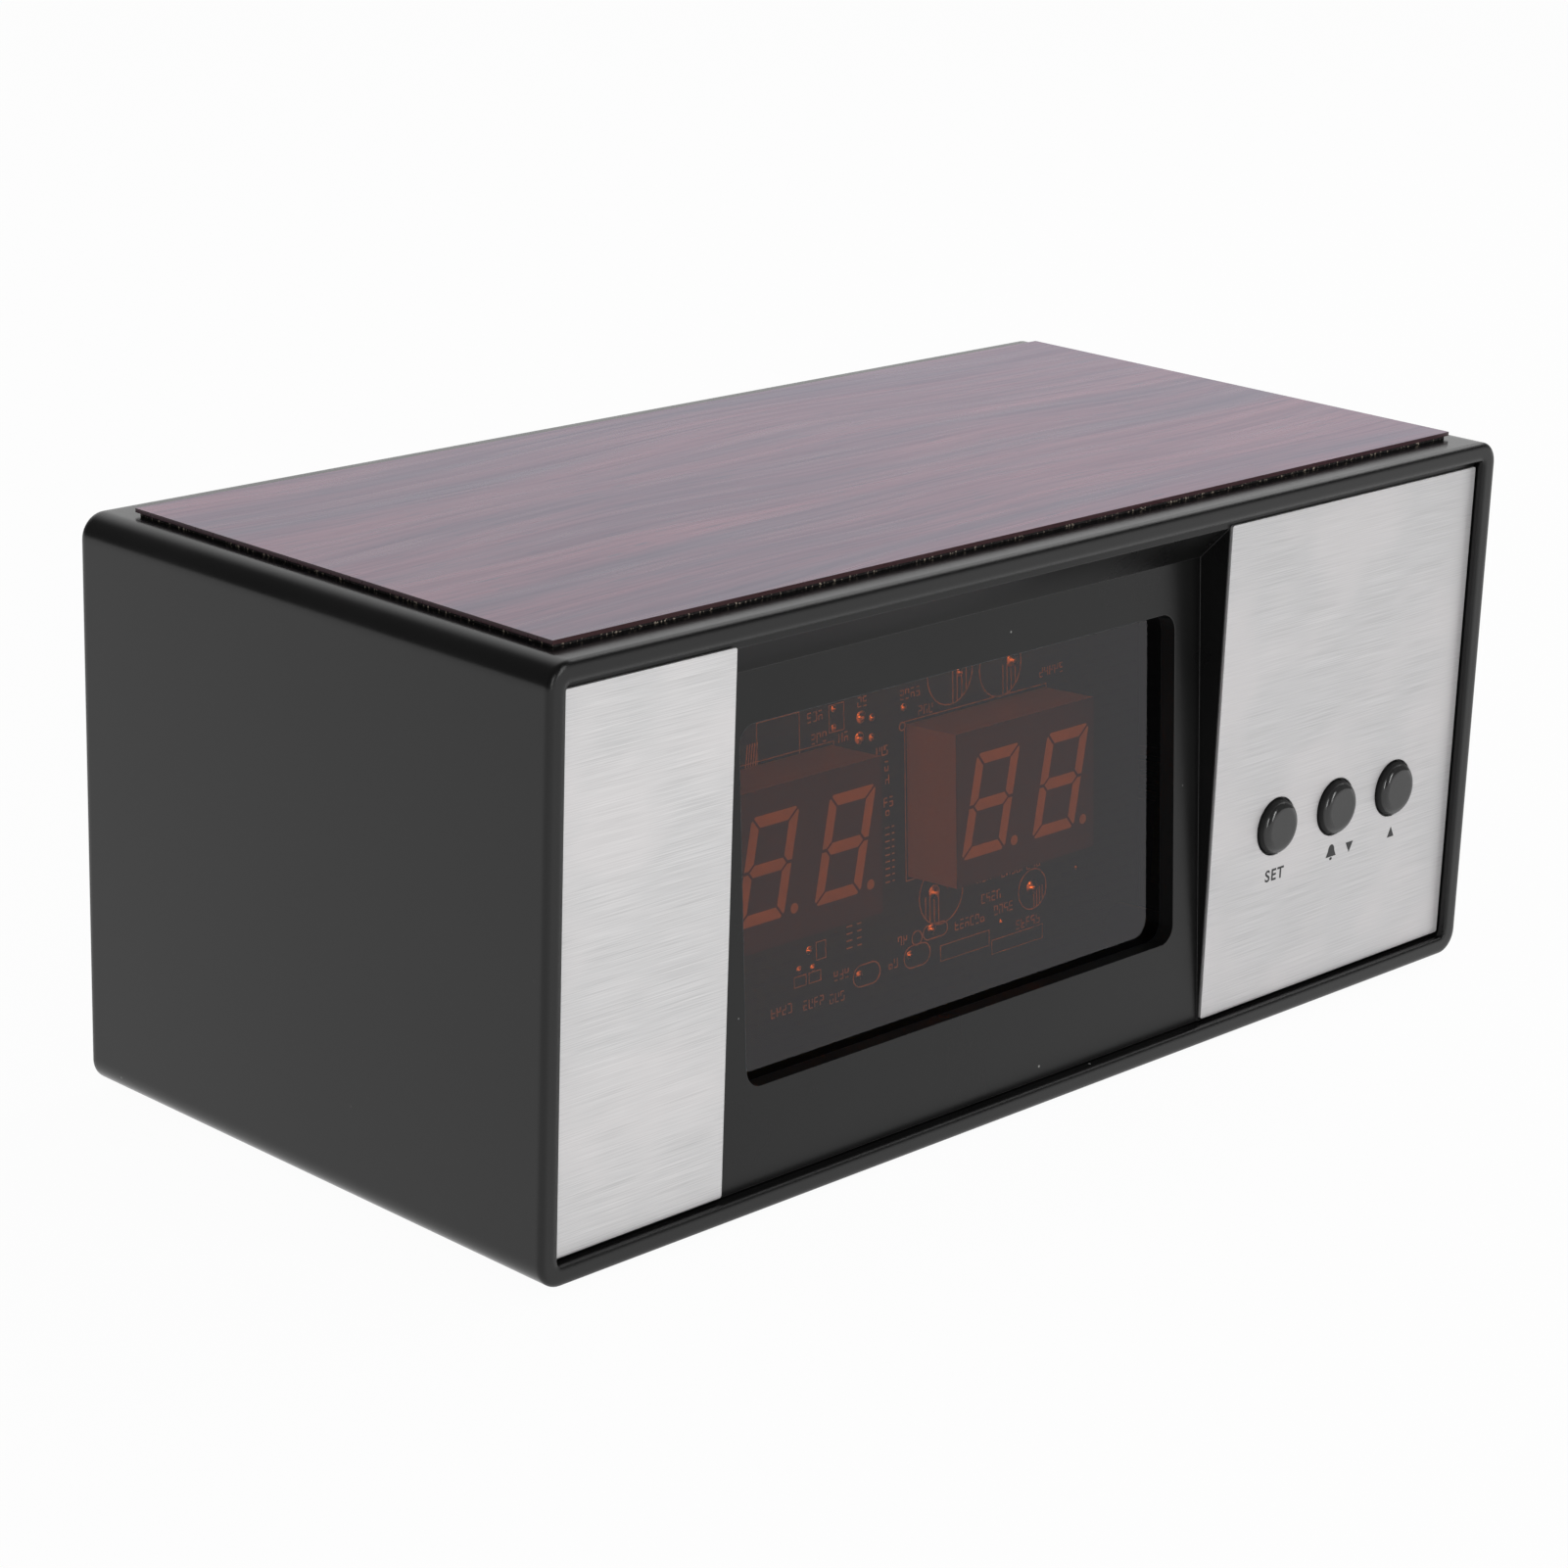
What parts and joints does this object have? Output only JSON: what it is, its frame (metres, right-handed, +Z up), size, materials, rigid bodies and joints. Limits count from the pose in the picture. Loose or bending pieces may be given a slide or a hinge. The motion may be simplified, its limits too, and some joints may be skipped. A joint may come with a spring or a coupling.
{
  "type": "digital desk clock",
  "caption": "Low rectangular desk clock with a recessed tinted display window, brushed metal front plates, push buttons and a wood-grain top sheet.",
  "frame": {"origin": "on the floor under the middle of the clock", "axes": "+Z up, the display faces -Y, +X to the right as seen from the front"},
  "size_m": [0.165, 0.08, 0.0717],
  "materials": {
    "case_plastic": "satin",
    "bezel_plastic": "satin",
    "wood_sheet": "satin",
    "pad_foam": "matte",
    "front_metal": "brushed",
    "smoked_lens": "gloss",
    "board": "satin",
    "display_block": "satin",
    "display_bars": "satin",
    "steel": "satin",
    "brass": "satin",
    "foot_rubber": "matte",
    "black_parts": "satin",
    "capacitor_sleeve": "gloss",
    "resistor_body": "satin",
    "plug_plastic": "satin",
    "wire_red": "satin",
    "wire_black": "satin",
    "wire_grey": "satin",
    "button_plastic": "satin",
    "plunger_plastic": "satin"
  },
  "bodies": {
    "case": {"case_shell": "case_plastic", "rear_cover": "case_plastic", "front_bezel": "bezel_plastic", "wood_top_panel": "wood_sheet", "panel_pad": "pad_foam", "left_plate": "front_metal", "right_plate": "front_metal", "window_lens": "smoked_lens", "display_board": "board", "button_board": "board", "hour_display": "display_block", "minute_display": "display_block", "hour_segments": "display_bars", "minute_segments": "display_bars", "rear_cover_screws": "steel", "display_board_screws": "steel", "button_board_screws": "steel", "display_pins": "steel", "chip_legs": "steel", "crystal_can": "steel", "backup_cell": "steel", "cell_clip": "steel", "jack_nut": "steel", "jack_pin": "brass", "jack_terminals": "brass", "rubber_feet": "foot_rubber", "clock_chip": "black_parts", "transistors": "black_parts", "cell_holder": "black_parts", "alarm_buzzer": "black_parts", "power_jack": "black_parts", "switch_bodies": "black_parts", "capacitors": "capacitor_sleeve", "resistors": "resistor_body", "power_plug": "plug_plastic", "cable_plugs": "plug_plastic", "power_wire_plus": "wire_red", "power_wire_minus": "wire_black", "button_cable": "wire_grey"},
    "set_button": {"set_button": "button_plastic", "set_plunger": "plunger_plastic"},
    "down_button": {"down_button": "button_plastic", "down_plunger": "plunger_plastic"},
    "up_button": {"up_button": "button_plastic", "up_plunger": "plunger_plastic"}
  },
  "joints": [
    {"name": "set_button_press", "type": "slide", "parent": "case", "child": "set_button", "axis": [0, 1, 0], "range_m": [0, 0.0005], "stiffness_N_per_m": 1600},
    {"name": "down_button_press", "type": "slide", "parent": "case", "child": "down_button", "axis": [0, 1, 0], "range_m": [0, 0.0005], "stiffness_N_per_m": 1600},
    {"name": "up_button_press", "type": "slide", "parent": "case", "child": "up_button", "axis": [0, 1, 0], "range_m": [0, 0.0005], "stiffness_N_per_m": 1600}
  ]
}
